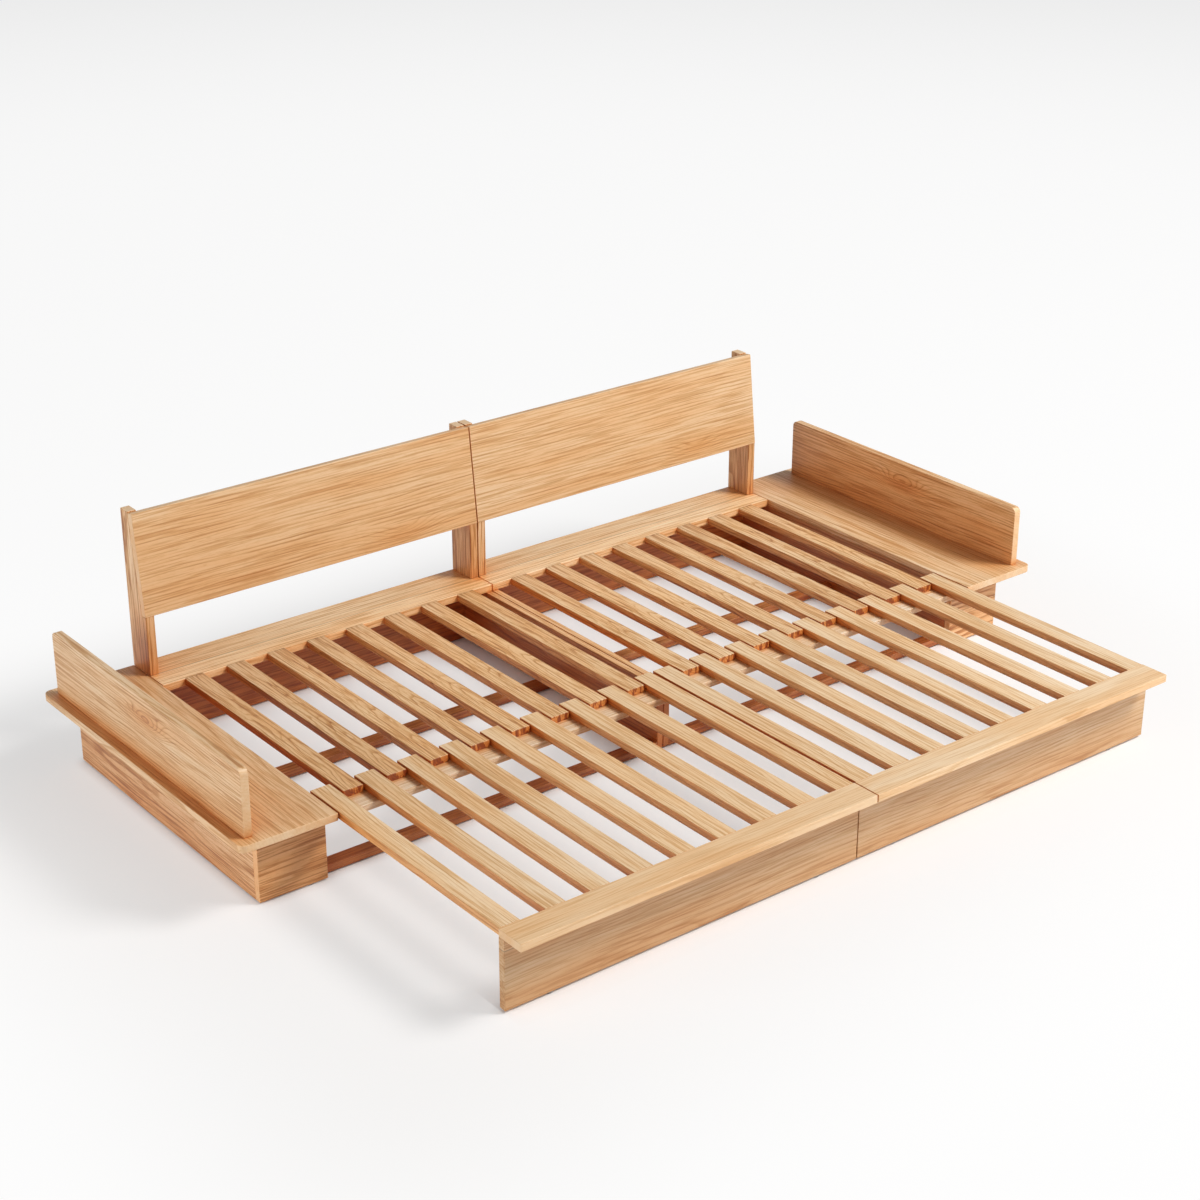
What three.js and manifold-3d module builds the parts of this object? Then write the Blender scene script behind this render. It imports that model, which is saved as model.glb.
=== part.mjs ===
// Low slatted sofa bed in solid oak, drawn out into a bed.
// Two mirrored modules stand side by side. Each has a base frame, a comb of fixed slats and a comb of
// pull-out slats that slides between them. A low side table with an upright arm panel closes each end.
// Lengths are in millimetres and angles in degrees. X runs along the sofa, Y from its front to its back
// and Z up from the floor.
import * as THREE from "three";
import Module from "manifold-3d";

// Deck and modules
const deck_top = 198; // lying surface above the floor
const board_thickness = 20; // front board, rear deck and backrest
const panel_thickness = 19; // panels, stretchers, skirt and side table boards
const module_length = 1000; // from the seam in the middle to the side table
const seam_half_gap = 1.5; // each module's boards stop this far from the middle
const foot_height = 4; // glides hold the base frames and side tables off the floor
const glide_diameter = 16;
const glide_inset = 45; // from a panel's end to the middle of its glide
const glide_rebate = 1; // a glide's stem goes this far into the wood

// Pull-out, drawn out for the bed
const front_board_width = 77;
const front_board_overhang = 58; // the board's edge stands this far in front of its panel
const pullout_foot_height = 6; // glides hold the front panel off the floor
const pullout_glide_inset = 120; // from the front panel's ends to the middle of its glides
const pullout_slat_count = 9;
const slat_width = 53;
const slat_end_inset = 2.5; // from the module's ends to the outermost slats
const slide_clearance = 0.5; // between layers that slide over each other
const closing_clearance = 0.5; // left between the wood when the pull-out is pushed in
const comb_overlap = 49; // drawn out, the two combs of slats still overlap by this much
const rail_width = 100;
const rail_thickness = 18;
const rail_end_setback = 2.5; // from the slats' rear ends to the rail's rear edge
const rail_side_play = 3; // beside the inner side panel

// Base frame
const overall_depth = 1638; // from the drawn-out front edge to the rear of the posts
const skirt_setback = 22; // the rear deck hangs over the skirt
const front_stretcher_width = 36;
const mid_stretcher_width = 37;
const mid_stretcher_from_front = 441.5; // from the frame's front to the middle stretcher
const tenon_length = 9; // a stretcher's end goes this far into a side panel
const housing_depth = 6; // a side panel's end goes this far into the skirt

// Rear deck, posts and backrest
const rear_deck_width = 151;
const post_thickness = 24;
const post_foot_width = 86.5;
const post_head_width = 36;
const post_height = 425;
const backrest_width = 267;
const backrest_drop = 3; // along the posts' slope, from their top to the backrest's edge
const backrest_joint_gap = 0.25; // the glue line behind and under the backrest

// Side tables
const table_seam = 2; // between the side table and the module's boards
const table_top_length = 248;
const table_rear_setback = 2; // from the rear of the posts to the table top's rear edge
const table_corner_radius = 18;
const table_box_length = 180; // from the module to the box's outer face
const arm_panel_thickness = 21.5;
const arm_panel_from_seam = 202.5; // from the module to the upright arm panel
const arm_panel_setback = 30; // from the table top's front and rear edges to the arm panel
const arm_panel_height = 168;
const arm_corner_radius = 15;

const corner_segments = 12;
const glide_segments = 32;

// Heights that follow
const board_underside = deck_top - board_thickness;
const pullout_slat_underside = board_underside + slide_clearance;
const fixed_slat_underside = pullout_slat_underside + slide_clearance;
const rail_underside = pullout_slat_underside - rail_thickness;
const stretcher_top = foot_height + panel_thickness;
const table_top_underside = deck_top - panel_thickness;

// Depths that follow
const front_panel_rear = front_board_width;
const front_panel_front = front_board_overhang;
const deck_front = overall_depth - rear_deck_width;
const slide_room = (deck_front - front_board_width - comb_overlap) / 2;
const travel = slide_room - closing_clearance; // pushed in until the wood nearly meets everywhere
const base_front = front_board_width + slide_room;
const slat_length = deck_front - base_front; // the same for both combs
const pullout_slat_rear = front_board_width + slat_length;
const rail_rear = pullout_slat_rear - rail_end_setback;
const rail_front = rail_rear - rail_width;
const mid_stretcher_front = base_front + mid_stretcher_from_front;
const skirt_rear = overall_depth - skirt_setback;
const skirt_front = skirt_rear - panel_thickness;
const table_top_front = travel; // level with the front board when the pull-out is pushed in
const table_top_rear = overall_depth - table_rear_setback;
const table_box_front = table_top_front + front_board_overhang;
const table_outer_front = table_box_front + panel_thickness;
const table_outer_rear = skirt_front;
const arm_panel_front = table_top_front + arm_panel_setback;
const arm_panel_rear = table_top_rear - arm_panel_setback;

// Lengths along the sofa that follow
const rail_inner_end = panel_thickness + rail_side_play;
const rail_outer_end = module_length - rail_inner_end;
const table_seam_face = module_length + table_seam;
const side_panel_outer_face = table_seam_face + panel_thickness; // the table top rests on this panel
const table_outer_outer_face = module_length + table_box_length;
const table_outer_inner_face = table_outer_outer_face - panel_thickness;
const table_top_outer = table_seam_face + table_top_length;
const arm_inner_face = module_length + arm_panel_from_seam;
const arm_outer_face = arm_inner_face + arm_panel_thickness;
const first_slat = seam_half_gap + slat_end_inset;
const last_slat = module_length - slat_end_inset - slat_width;
const slat_pitch = (last_slat - first_slat) / (pullout_slat_count - 1);

// Slope of the backrest and of the posts' edges behind it, taken from the foot to the head
const post_front_foot = overall_depth - post_foot_width;
const post_front_head = overall_depth - post_head_width;
const slope_length = Math.hypot(post_front_head - post_front_foot, post_height);
const slope_back = (post_front_head - post_front_foot) / slope_length;
const slope_up = post_height / slope_length;

const wasm = await Module();
wasm.setup();

const group = new THREE.Group();
group.name = "sofa_bed";

const finishes = {
  slats: { color: "#d8b183", roughness: 0.55, metalness: 0 },
  boards: { color: "#dcb88c", roughness: 0.55, metalness: 0 },
  panels: { color: "#c89c6c", roughness: 0.6, metalness: 0 },
  frame: { color: "#bb8d5e", roughness: 0.65, metalness: 0 },
};

// One named piece.
function addPiece(name, geometry, finish) {
  const mesh = new THREE.Mesh(
    geometry,
    new THREE.MeshStandardMaterial(finishes[finish]),
  );
  mesh.name = name;
  group.add(mesh);
}

// A board between two corners. The corners are kept exactly, so boards that touch share a face.
function board(x, y, z) {
  const geometry = new THREE.BoxGeometry(1, 1, 1);
  const position = geometry.attributes.position;
  for (let i = 0; i < position.count; i++) {
    position.setXYZ(
      i,
      position.getX(i) < 0 ? x[0] : x[1],
      position.getY(i) < 0 ? y[0] : y[1],
      position.getZ(i) < 0 ? z[0] : z[1],
    );
  }
  return geometry;
}

// A plan outline, in X and Y, raised from one height to another.
function raised(outline, low, high) {
  const geometry = new THREE.ExtrudeGeometry(outline, {
    depth: 1,
    bevelEnabled: false,
    curveSegments: corner_segments,
  });
  const position = geometry.attributes.position;
  for (let i = 0; i < position.count; i++) {
    position.setZ(i, position.getZ(i) > 0 ? high : low);
  }
  geometry.computeVertexNormals();
  return geometry;
}

// A side outline, in Y and Z, drawn out along X from one face to another.
function drawnAlong(outline, x) {
  const geometry = new THREE.ExtrudeGeometry(outline, {
    depth: 1,
    bevelEnabled: false,
    curveSegments: corner_segments,
  });
  const position = geometry.attributes.position;
  for (let i = 0; i < position.count; i++) {
    const y = position.getX(i);
    const z = position.getY(i);
    position.setXYZ(i, position.getZ(i) > 0 ? x[1] : x[0], y, z);
  }
  geometry.computeVertexNormals();
  return geometry;
}

// A round glide under a panel, standing on the floor.
function glide(x, y, height) {
  const radius = glide_diameter / 2;
  const circle = new THREE.Shape();
  circle.absarc(0, 0, radius, 0, 2 * Math.PI, false);
  const geometry = new THREE.ExtrudeGeometry(circle, {
    depth: height + glide_rebate,
    bevelEnabled: false,
    curveSegments: glide_segments,
  });
  geometry.translate(x, y, 0);
  return geometry;
}

// Joins overlapping bodies into one, as glued and screwed joints do.
function joined(geometries) {
  let whole = null;
  for (const geometry of geometries) {
    const bare = geometry.clone();
    bare.deleteAttribute("normal");
    bare.deleteAttribute("uv");
    const merged = mergedVertices(bare);
    const solid = new wasm.Manifold(
      new wasm.Mesh({
        numProp: 3,
        vertProperties: merged.positions,
        triVerts: merged.triangles,
      }),
    );
    whole = whole ? whole.add(solid) : solid;
  }
  const mesh = whole.getMesh();
  const geometry = new THREE.BufferGeometry();
  geometry.setAttribute(
    "position",
    new THREE.BufferAttribute(new Float32Array(mesh.vertProperties), 3),
  );
  geometry.setIndex(
    new THREE.BufferAttribute(new Uint32Array(mesh.triVerts), 1),
  );
  geometry.computeVertexNormals();
  return geometry;
}

// Positions with equal corners taken once, and the triangles that use them.
function mergedVertices(geometry) {
  const source = geometry.attributes.position;
  const order = geometry.index
    ? Array.from(geometry.index.array)
    : Array.from({ length: source.count }, (_, i) => i);
  const known = new Map();
  const positions = [];
  const triangles = [];
  for (const i of order) {
    const corner = [source.getX(i), source.getY(i), source.getZ(i)];
    const key = corner.join(" ");
    if (!known.has(key)) {
      known.set(key, known.size);
      positions.push(...corner);
    }
    triangles.push(known.get(key));
  }
  return {
    positions: new Float32Array(positions),
    triangles: new Uint32Array(triangles),
  };
}

// A range along X, taken on the right side or mirrored to the left.
function along(side, inner, outer) {
  return side > 0 ? [inner, outer] : [-outer, -inner];
}

function addModule(word, side) {
  const module_x = along(side, seam_half_gap, module_length);

  // Pull-out
  addPiece(
    word + "_front_board",
    board(module_x, [0, front_board_width], [board_underside, deck_top]),
    "boards",
  );
  const front_panel_glides = [
    seam_half_gap + pullout_glide_inset,
    module_length - pullout_glide_inset,
  ].map((x) =>
    glide(
      side * x,
      (front_panel_front + front_panel_rear) / 2,
      pullout_foot_height,
    ),
  );
  addPiece(
    word + "_front_panel",
    joined([
      board(
        module_x,
        [front_panel_front, front_panel_rear],
        [pullout_foot_height, board_underside],
      ),
      ...front_panel_glides,
    ]),
    "panels",
  );
  for (let i = 0; i < pullout_slat_count; i++) {
    const inner = first_slat + i * slat_pitch;
    addPiece(
      word + "_pullout_slat_" + (i + 1),
      board(
        along(side, inner, inner + slat_width),
        [front_board_width, pullout_slat_rear],
        [pullout_slat_underside, deck_top],
      ),
      "slats",
    );
  }
  addPiece(
    word + "_pullout_rail",
    board(
      along(side, rail_inner_end, rail_outer_end),
      [rail_front, rail_rear],
      [rail_underside, pullout_slat_underside],
    ),
    "frame",
  );

  // Fixed slats, one in the middle of each gap between two pull-out slats
  for (let i = 0; i + 1 < pullout_slat_count; i++) {
    const inner = first_slat + (i + 1 / 2) * slat_pitch;
    addPiece(
      word + "_fixed_slat_" + (i + 1),
      board(
        along(side, inner, inner + slat_width),
        [base_front, deck_front],
        [fixed_slat_underside, deck_top],
      ),
      "slats",
    );
  }

  // Base frame: two side panels housed in the skirt, with two low stretchers between them. The outer one
  // stands under the side table's top, in line with its edge.
  const side_panels = [
    { faces: [0, panel_thickness], top: board_underside },
    { faces: [table_seam_face, side_panel_outer_face], top: table_top_underside },
  ];
  const frame_parts = side_panels.map(({ faces, top }) =>
    board(
      along(side, ...faces),
      [base_front, skirt_front + housing_depth],
      [foot_height, top],
    ),
  );
  frame_parts.push(
    board(
      along(side, 0, side_panel_outer_face),
      [skirt_front, skirt_rear],
      [foot_height, board_underside],
    ),
  );
  const stretcher_x = along(
    side,
    panel_thickness - tenon_length,
    table_seam_face + tenon_length,
  );
  const stretchers = [
    [base_front, front_stretcher_width],
    [mid_stretcher_front, mid_stretcher_width],
  ];
  for (const [front, width] of stretchers) {
    frame_parts.push(
      board(stretcher_x, [front, front + width], [foot_height, stretcher_top]),
    );
  }
  const glide_x = side_panels.map(
    ({ faces }) => (side * (faces[0] + faces[1])) / 2,
  );
  for (const x of glide_x) {
    for (const y of [base_front + glide_inset, skirt_front - glide_inset]) {
      frame_parts.push(glide(x, y, foot_height));
    }
  }
  addPiece(word + "_base_frame", joined(frame_parts), "frame");

  // Rear deck, posts and backrest
  addPiece(
    word + "_rear_deck",
    board(module_x, [deck_front, overall_depth], [board_underside, deck_top]),
    "boards",
  );
  const upper = slope_length - backrest_drop;
  const lower = upper - backrest_width;
  const back_face = backrest_joint_gap;
  const front_face = backrest_joint_gap + board_thickness;
  const onSlope = (up_slope, off_slope) =>
    new THREE.Vector2(
      post_front_foot + up_slope * slope_back - off_slope * slope_up,
      deck_top + up_slope * slope_up + off_slope * slope_back,
    );
  // A post's front edge stands upright to the shoulder that carries the backrest, and leans back above it
  const shoulder = lower - backrest_joint_gap;
  const shoulder_width = (shoulder * slope_back) / slope_up;
  const post_outline = new THREE.Shape([
    new THREE.Vector2(post_front_foot, deck_top),
    new THREE.Vector2(overall_depth, deck_top),
    new THREE.Vector2(overall_depth, deck_top + post_height),
    new THREE.Vector2(post_front_head, deck_top + post_height),
    onSlope(shoulder, 0),
    onSlope(shoulder, shoulder_width),
  ]);
  addPiece(
    word + "_post_inner",
    drawnAlong(
      post_outline,
      along(side, seam_half_gap, seam_half_gap + post_thickness),
    ),
    "panels",
  );
  addPiece(
    word + "_post_outer",
    drawnAlong(
      post_outline,
      along(side, module_length - post_thickness, module_length),
    ),
    "panels",
  );
  addPiece(
    word + "_backrest",
    drawnAlong(
      new THREE.Shape([
        onSlope(lower, back_face),
        onSlope(upper, back_face),
        onSlope(upper, front_face),
        onSlope(lower, front_face),
      ]),
      module_x,
    ),
    "boards",
  );

  // Side table: a top with rounded outer corners on three panels and the outer side panel, and the arm
  // panel standing on it
  addPiece(
    word + "_table_top",
    raised(
      tableTopOutline(side),
      table_top_underside,
      deck_top,
    ),
    "boards",
  );
  const box_rear = table_outer_rear;
  addPiece(
    word + "_table_front",
    joined([
      board(
        along(side, table_seam_face, table_outer_outer_face),
        [table_box_front, table_outer_front],
        [foot_height, table_top_underside],
      ),
      glide(
        side * (table_seam_face + glide_inset),
        (table_box_front + table_outer_front) / 2,
        foot_height,
      ),
    ]),
    "panels",
  );
  addPiece(
    word + "_table_outer",
    joined([
      board(
        along(side, table_outer_inner_face, table_outer_outer_face),
        [table_outer_front, table_outer_rear],
        [foot_height, table_top_underside],
      ),
      glide(
        (side * (table_outer_inner_face + table_outer_outer_face)) / 2,
        table_outer_front + glide_inset,
        foot_height,
      ),
      glide(
        (side * (table_outer_inner_face + table_outer_outer_face)) / 2,
        table_outer_rear - glide_inset,
        foot_height,
      ),
    ]),
    "panels",
  );
  addPiece(
    word + "_table_rear",
    joined([
      board(
        along(side, side_panel_outer_face, table_outer_inner_face),
        [box_rear - panel_thickness, box_rear],
        [foot_height, table_top_underside],
      ),
      glide(
        side * (side_panel_outer_face + glide_inset),
        box_rear - panel_thickness / 2,
        foot_height,
      ),
    ]),
    "panels",
  );
  addPiece(
    word + "_arm_panel",
    drawnAlong(armOutline(), along(side, arm_inner_face, arm_outer_face)),
    "panels",
  );
}

// The side table's top in plan, with its two outer corners rounded.
function tableTopOutline(side) {
  const front = table_top_front;
  const rear = table_top_rear;
  const radius = table_corner_radius;
  const inner = table_seam_face * side;
  const centre = (table_top_outer - radius) * side;
  const outline = new THREE.Shape();
  outline.moveTo(inner, front);
  outline.lineTo(centre, front);
  if (side > 0) {
    outline.absarc(centre, front + radius, radius, -Math.PI / 2, 0, false);
    outline.absarc(centre, rear - radius, radius, 0, Math.PI / 2, false);
  } else {
    outline.absarc(centre, front + radius, radius, -Math.PI / 2, -Math.PI, true);
    outline.absarc(centre, rear - radius, radius, Math.PI, Math.PI / 2, true);
  }
  outline.lineTo(inner, rear);
  outline.closePath();
  return outline;
}

// The arm panel from the side, with its two upper corners rounded.
function armOutline() {
  const front = arm_panel_front;
  const rear = arm_panel_rear;
  const top = deck_top + arm_panel_height;
  const radius = arm_corner_radius;
  const outline = new THREE.Shape();
  outline.moveTo(front, deck_top);
  outline.lineTo(rear, deck_top);
  outline.lineTo(rear, top - radius);
  outline.absarc(rear - radius, top - radius, radius, 0, Math.PI / 2, false);
  outline.absarc(front + radius, top - radius, radius, Math.PI / 2, Math.PI, false);
  outline.closePath();
  return outline;
}

addModule("left", -1);
addModule("right", 1);

// The frame's origin is under the middle of the object.
group.position.y = -overall_depth / 2;

export default group;
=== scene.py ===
# %% [markdown]
# A slatted sofa bed in oiled oak, drawn out for the night
#
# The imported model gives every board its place. This script dresses each one as the real thing: a sawn,
# planed board whose edges were eased with sandpaper, cut from its own spot in the log so that the rings
# run on from the face to the edge and the end. Lengths are in metres.

import math

import bpy
import numpy as np
from mathutils import Matrix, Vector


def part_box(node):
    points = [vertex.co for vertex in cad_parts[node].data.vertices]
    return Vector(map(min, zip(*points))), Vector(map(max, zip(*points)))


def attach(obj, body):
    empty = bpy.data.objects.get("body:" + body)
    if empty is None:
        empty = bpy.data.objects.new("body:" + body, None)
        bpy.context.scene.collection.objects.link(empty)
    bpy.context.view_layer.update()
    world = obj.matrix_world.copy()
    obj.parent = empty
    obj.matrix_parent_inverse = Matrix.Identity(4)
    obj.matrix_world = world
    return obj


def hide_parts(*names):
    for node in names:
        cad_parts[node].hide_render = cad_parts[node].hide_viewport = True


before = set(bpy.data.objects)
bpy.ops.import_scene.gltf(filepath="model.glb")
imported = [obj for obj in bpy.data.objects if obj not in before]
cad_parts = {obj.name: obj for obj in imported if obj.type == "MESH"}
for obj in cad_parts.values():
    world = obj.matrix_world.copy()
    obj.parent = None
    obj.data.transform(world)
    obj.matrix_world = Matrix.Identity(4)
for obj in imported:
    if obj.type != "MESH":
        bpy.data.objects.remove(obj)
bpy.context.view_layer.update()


# %% Put something into the scene
def in_scene(name, data):
    """Makes an object of a mesh, a lamp or a camera."""
    thing = bpy.data.objects.new(name, data)
    bpy.context.scene.collection.objects.link(thing)
    return thing


# %% [markdown]
# The camera
#
# A long lens looks down on the bed from the front left, a little above sitting height. Its place was
# worked out from the straight edges of the boards, so it is given as numbers and not aimed at anything.

# %% Place the camera
camera_place = (-3.34030, -4.05161, 2.75886)
camera_turn = -0.666352
camera_dip = 0.424101
camera_roll = 0.001379
photo_width = 1200
lens_in_pixels = 2332.06
sensor = 36.0

camera_data = bpy.data.cameras.new("long_lens")
camera_data.sensor_width = sensor
camera_data.lens = sensor * lens_in_pixels / photo_width
camera_data.clip_end = 200.0
camera = in_scene("camera", camera_data)
camera.matrix_world = (
    Matrix.Translation(camera_place)
    @ Matrix.Rotation(camera_turn, 4, "Z")
    @ Matrix.Rotation(math.pi / 2 - camera_dip, 4, "X")
    @ Matrix.Rotation(camera_roll, 4, "Z")
)
bpy.context.scene.camera = camera
print("lens", round(camera_data.lens, 2), "mm")

# %% [markdown]
# The shape of a board
#
# A board could be a cube with a Bevel modifier, but its shading would then swell over the wide faces.
# Here the whole skin is worked out at once. A flat outline with rounded corners is carried along the
# board, and near each end it shrinks along a quarter circle. Every point also knows which way the skin
# faces there, so the flats stay flat and only the eased edges catch the light.


# %% Work out the rounded outline
def rounded_outline(corners, radii, steps):
    """Centres, radii and outward directions round an outline, given anticlockwise.

    Each corner becomes an arc whose centre lies one radius inside both edges: the corner, less the
    radius times the sum of the two edge normals over one plus their product. The arc's points are the
    centre plus the radius times a direction that turns evenly from one edge's normal to the next. At a
    hollow corner the radius is negative, which puts the centre outside the wood.
    """
    corners = np.asarray(corners, float)
    radii = np.broadcast_to(np.asarray(radii, float), len(corners))
    ahead = np.roll(corners, -1, axis=0) - corners
    ahead /= np.linalg.norm(ahead, axis=1, keepdims=True)
    after = np.stack([ahead[:, 1], -ahead[:, 0]], axis=1)
    before = np.roll(after, 1, axis=0)
    cosine = np.sum(before * after, axis=1, keepdims=True)
    sine = before[:, 0] * after[:, 1] - before[:, 1] * after[:, 0]
    centres = corners - radii[:, None] * (before + after) / (1 + cosine)
    start = np.arctan2(before[:, 1], before[:, 0])
    turn = np.arctan2(sine, cosine[:, 0])
    angle = start[:, None] + turn[:, None] * np.linspace(0, 1, steps + 1)
    facing = np.stack([np.cos(angle), np.sin(angle)], axis=2)
    count = steps + 1
    return (
        np.repeat(centres, count, axis=0),
        np.repeat(radii, count),
        facing.reshape(-1, 2),
    )


# %% Join rings of points with faces
def ring_faces(rings, around):
    """Faces between each ring of points and the next, and a flat one at each end.

    A point's number is its ring's number times the points in a ring, plus its spot in the ring. The spot
    beside the last one is the first.
    """
    ring, spot = np.meshgrid(np.arange(rings - 1), np.arange(around), indexing="ij")
    beside = (spot + 1) % around
    corners = [ring * around + spot, ring * around + beside]
    corners += [(ring + 1) * around + beside, (ring + 1) * around + spot]
    sides = np.stack([corner.ravel() for corner in corners], axis=1).tolist()
    bottom = np.arange(around)[::-1].tolist()
    top = (np.arange(around) + (rings - 1) * around).tolist()
    return sides + [bottom, top]


# %% Carry the outline along the board
def eased_skin(corners, radii, low, high, ease_low, ease_high, steps=4):
    """Points, outward directions and faces of an outline carried from low to high.

    Round the outline runs the first parameter. Along the board runs the second, an angle from a quarter
    turn below to a quarter turn above: the outline is drawn in by ease times one less its cosine, and
    stands beyond the end of the straight part by ease times its sine.
    """
    centres, radius, facing = rounded_outline(corners, radii, steps)
    quarter = np.linspace(0, np.pi / 2, steps + 1)
    angle = np.concatenate([quarter - np.pi / 2, quarter])
    ease = np.repeat([ease_low, ease_high], steps + 1)
    seat = np.repeat([low + ease_low, high - ease_high], steps + 1)
    inset = ease * (1 - np.cos(angle))
    along = seat + ease * np.sin(angle)
    reach = radius[None, :] - inset[:, None]
    flat = centres[None] + facing[None] * reach[..., None]
    rings, around = reach.shape
    points = np.concatenate(
        [flat, np.broadcast_to(along[:, None, None], (rings, around, 1))], axis=2
    )
    slant = np.broadcast_to(np.cos(angle)[:, None, None], (rings, around, 1))
    rise = np.broadcast_to(np.sin(angle)[:, None, None], (rings, around, 1))
    normals = np.concatenate([facing[None] * slant, rise], axis=2)
    return points.reshape(-1, 3), normals.reshape(-1, 3), ring_faces(rings, around)


# %% [markdown]
# Where each board was sawn
#
# Wood grain is a solid pattern, rings round the heart of the log. If a board carries the place it was
# sawn from, its face, edge and end all agree. So each point keeps where it lies in metres along the
# grain, across the board and through it, how far its surface faces along the grain, since raw end grain
# drinks more oil, and how deep its colour is. Each board also keeps where the log's heart lies, which
# decides whether its face shows straight lines or pointed arches.

# %% Turn an outline into a finished board
oak = {}
made = []
chance = np.random.default_rng(41)
painted_light_right = 0.11  # painted light: the right half's colour is drawn less deep, as the lamp lights it from the right


def saw_board(name, body, nodes, skin, frame_rows, middle, cut, finish):
    """Makes one board from its skin in the outline's own frame.

    frame_rows holds the three directions of the outline's frame in the room. The point in the room is
    each of its numbers times its direction, added up. The grain numbers are the room point, less the
    board's middle, measured along the board's grain, width and thickness.
    """
    points, normals, faces = skin
    rows = np.asarray(frame_rows, float)
    points = points @ rows
    normals = normals @ rows
    mesh = bpy.data.meshes.new(name)
    mesh.from_pydata(points.tolist(), [], faces)
    mesh.polygons.foreach_set("use_smooth", np.ones(len(faces), bool))
    mesh.normals_split_custom_set_from_vertices(normals.tolist())
    count = len(points)
    directions = np.asarray(cut["rows"], float)
    faces_along, faces_across, faces_through = directions @ normals.T
    # Painted shade by which way a face looks: side on the long edge faces, rough on the inner face
    depth = cut["depth"] + cut["side"] * faces_across**2 + cut["rough"] * np.maximum(faces_through, 0)
    # Painted light: the right half is drawn paler
    if middle[0] > 0:
        depth = depth - painted_light_right
    vectors = {"grain": (points - np.asarray(middle)) @ directions.T}
    for key in ("board", "heart", "figure", "swirl"):
        vectors[key] = np.tile(cut[key], (count, 1))
    for key, value in vectors.items():
        layer = mesh.attributes.new(key, "FLOAT_VECTOR", "POINT")
        layer.data.foreach_set("vector", value.astype(np.float32).ravel())
    numbers = {
        "end": np.abs(faces_along) * cut["ends"],
        "glue": cut["glue"],
        "depth": depth,
        "corners": cut["corners"],
    }
    for key, value in numbers.items():
        layer = mesh.attributes.new(key, "FLOAT", "POINT")
        layer.data.foreach_set("value", np.broadcast_to(value, count).astype(np.float32))
    mesh.materials.append(oak[finish])
    board = in_scene(name, mesh)
    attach(board, body)
    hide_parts(*nodes)
    made.append(board)


# %% [markdown]
# Oiled oak
#
# Oak is a ring-porous wood. Each year starts with a band of open pores, which oil turns darker, and ends
# in dense wood. Along the grain the pores are fine dark dashes, and on an end they are dots along the
# rings. Planed and oiled, the surface is satin: it shows its own warm colour from above and a pale sheen
# at a low angle. An image of wood would stretch over the edges, so the pattern is worked out in the
# solid from the numbers that each board carries.

# %% Turn written colours into light
def linear(code):
    """The linear colour of an sRGB hex code: each part to the power 2.4 after the usual offset."""
    parts = np.array([int(code[i : i + 2], 16) for i in (1, 3, 5)]) / 255
    bent = np.where(parts <= 0.04045, parts / 12.92, ((parts + 0.055) / 1.055) ** 2.4)
    return (*bent.tolist(), 1.0)


# %% Add one node with its settings and links
def add_node(tree, kind, inputs=(), **settings):
    """Adds a node. Its inputs come in their own order, or by name or number in a dictionary.

    An input may be a number, a colour, a socket, or a node, whose first output it takes. For MULTIPLY_ADD
    they are two things to multiply and one to add. For a map range they are a value, the two ends that
    it runs between, and the two that these become, which are 0 and 1 where they aren't given.
    """
    node = tree.nodes.new(kind)
    for key, value in settings.items():
        setattr(node, key, value)
    if not isinstance(inputs, dict):
        inputs = dict(enumerate(inputs))
    for key, value in inputs.items():
        if isinstance(value, bpy.types.Node):
            value = value.outputs[0]
        if isinstance(value, bpy.types.NodeSocket):
            tree.links.new(value, node.inputs[key])
        else:
            node.inputs[key].default_value = value
    return node


math_node = "ShaderNodeMath"
vector_node = "ShaderNodeVectorMath"
range_node = "ShaderNodeMapRange"

# %% Set down what the oak is made of
fibre_gap = 0.0046  # pores stand about 0.3 mm apart, drawn coarser so that they show
glue_line = 0.0007  # half the width of a glue line that collects oil
glue_tone = 0.55  # how dark the oil makes it
oiled_pores = (0.81, 0.69, 0.53, 1.0)  # what is left of the light after one layer of dark pores
far_off = (1.31, 0.77, 0.43)  # each board's seed moves it this way through the noises
other_seed = 2.37  # the stave beyond a glue line has its own seed
other_heart = 0.11  # and its own heart
slow_bend = 0.045  # how far the slowest noise moves the rings
twig_length = 0.085  # the reach of a swirl along the grain
twig_width = 0.026  # and across it
twig_stain = 16.0  # how much darker the wood is beside a twig
sanded_lines = 0.12  # what is left of the lines on a sanded end
painted_shade_reach = 0.22  # painted corner shade: boards this near deepen and redden the stain

# Rings start with a dark band of pores and fade into clean wood, given as place and level
ring_stops = ((0.0, 1.0), (0.12, 0.75), (0.28, 0.18), (0.55, 0.02), (0.93, 0.06), (1.0, 1.0))

# How often each noise changes along, across and through the board, its detail and its roughness
noise_kinds = {
    "slow": ((1.7, 7.0, 7.0), 1.0, 0.5),
    "waver": ((8.0, 34.0, 34.0), 2.0, 0.5),
    "fibres": ((6.0, 1 / fibre_gap, 1 / fibre_gap), 1.0, 0.5),
    "pores": ((45.0, 900.0, 900.0), 1.0, 0.5),
    "drift": ((2.0, 15.0, 15.0), 3.0, 0.6),
    "streak": ((5.0, 60.0, 18.0), 2.0, 0.6),
}

# Each noise counts only above a level of its own, which leaves thin marks with clean wood between
mark_levels = {
    "fibres": (0.50, 0.62),
    "pores": (0.58, 0.70),
    "drift": (0.38, 0.66),
    "streak": (0.50, 0.56),
}


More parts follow.
